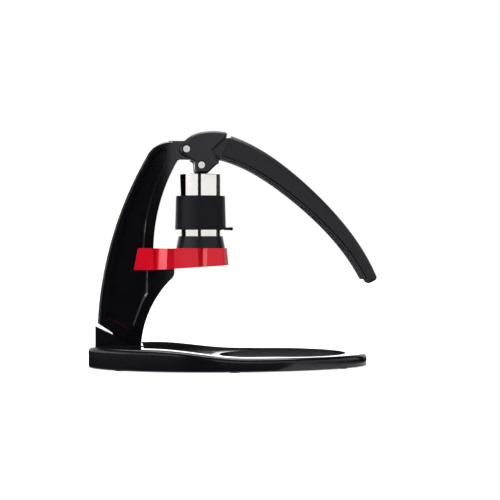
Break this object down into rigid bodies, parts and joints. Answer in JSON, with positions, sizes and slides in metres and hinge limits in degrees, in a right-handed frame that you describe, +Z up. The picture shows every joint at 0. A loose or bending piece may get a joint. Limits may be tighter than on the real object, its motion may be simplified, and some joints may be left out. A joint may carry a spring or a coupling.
{
  "type": "manual espresso maker",
  "caption": "Hand-powered espresso maker: an oval base with an open ring, a curved post, a faceted head bracket, a polished brewing cylinder in a rubber sleeve and a long curved lever.",
  "frame": {"origin": "on the table under the middle of the whole object, midway between the base's rear end and the lever's tip, in the middle of the width", "axes": "+Z up, +X from the post towards the lever's tip, +Y across the base"},
  "size_m": [0.3128, 0.154, 0.2537],
  "materials": {
    "base_paint": "satin black casting",
    "foot_rubber": "matte black",
    "tray_plastic": "gloss black",
    "post_paint": "gloss black",
    "bush_brass": "plain turned",
    "bracket_paint": "satin red",
    "lever_paint": "matte charcoal casting",
    "grip_rubber": "matte soft-touch black",
    "fastener_steel": "bright turned",
    "push_foot_plastic": "matte black",
    "cylinder_steel": "polished",
    "sleeve_rubber": "matte black",
    "portafilter_plastic": "satin black",
    "basket_steel": "drawn sheet",
    "seal_rubber": "moulded silicone",
    "piston_plastic": "moulded black"
  },
  "bodies": {
    "root": {"base_frame": "base_paint", "base_feet": "foot_rubber", "post": "post_paint", "post_screws": "fastener_steel", "pivot_bushes": "bush_brass", "head_bracket": "bracket_paint", "bracket_screws": "fastener_steel"},
    "lever": {"lever_arm": "lever_paint", "lever_grip": "grip_rubber", "grip_screw": "fastener_steel", "lever_pivot_pin": "fastener_steel", "foot_pin": "fastener_steel", "pin_screws": "fastener_steel"},
    "push_foot": {"push_foot": "push_foot_plastic"},
    "brew_head": {"brew_cylinder": "cylinder_steel", "thermal_sleeve": "sleeve_rubber", "portafilter": "portafilter_plastic", "portafilter_basket": "basket_steel", "cylinder_gasket": "seal_rubber", "dispersion_screen": "basket_steel"},
    "plunger": {"plunger_piston": "piston_plastic", "piston_seals": "seal_rubber", "plunger_stem": "cylinder_steel", "plunger_cap": "piston_plastic"},
    "tray": {"drip_tray": "tray_plastic"}
  },
  "joints": [
    {"name": "lever_pivot", "type": "hinge", "parent": "root", "child": "lever", "pos_m": [-0.0514, 0, 0.2344], "axis": [0, -1, 0], "range_deg": [0, 80]},
    {"name": "foot_rock", "type": "hinge", "parent": "lever", "child": "push_foot", "pos_m": [-0.0354, 0, 0.2173], "axis": [0, -1, 0], "range_deg": [-80, 0]},
    {"name": "head_swivel", "type": "hinge", "parent": "root", "child": "brew_head", "pos_m": [-0.0354, 0, 0.1285], "axis": [0, 0, 1], "continuous": true},
    {"name": "plunger_slide", "type": "slide", "parent": "brew_head", "child": "plunger", "axis": [0, 0, 1], "range_m": [0, 0.0224]},
    {"name": "tray_lift", "type": "slide", "parent": "root", "child": "tray", "axis": [0, 0, 1], "range_m": [0, 0.04]}
  ],
  "couplings": [
    {"joint": "foot_rock", "follows": "lever_pivot", "ratio": -1},
    {"joint": "plunger_slide", "follows": "lever_pivot", "m_per_rad": 0.016}
  ]
}
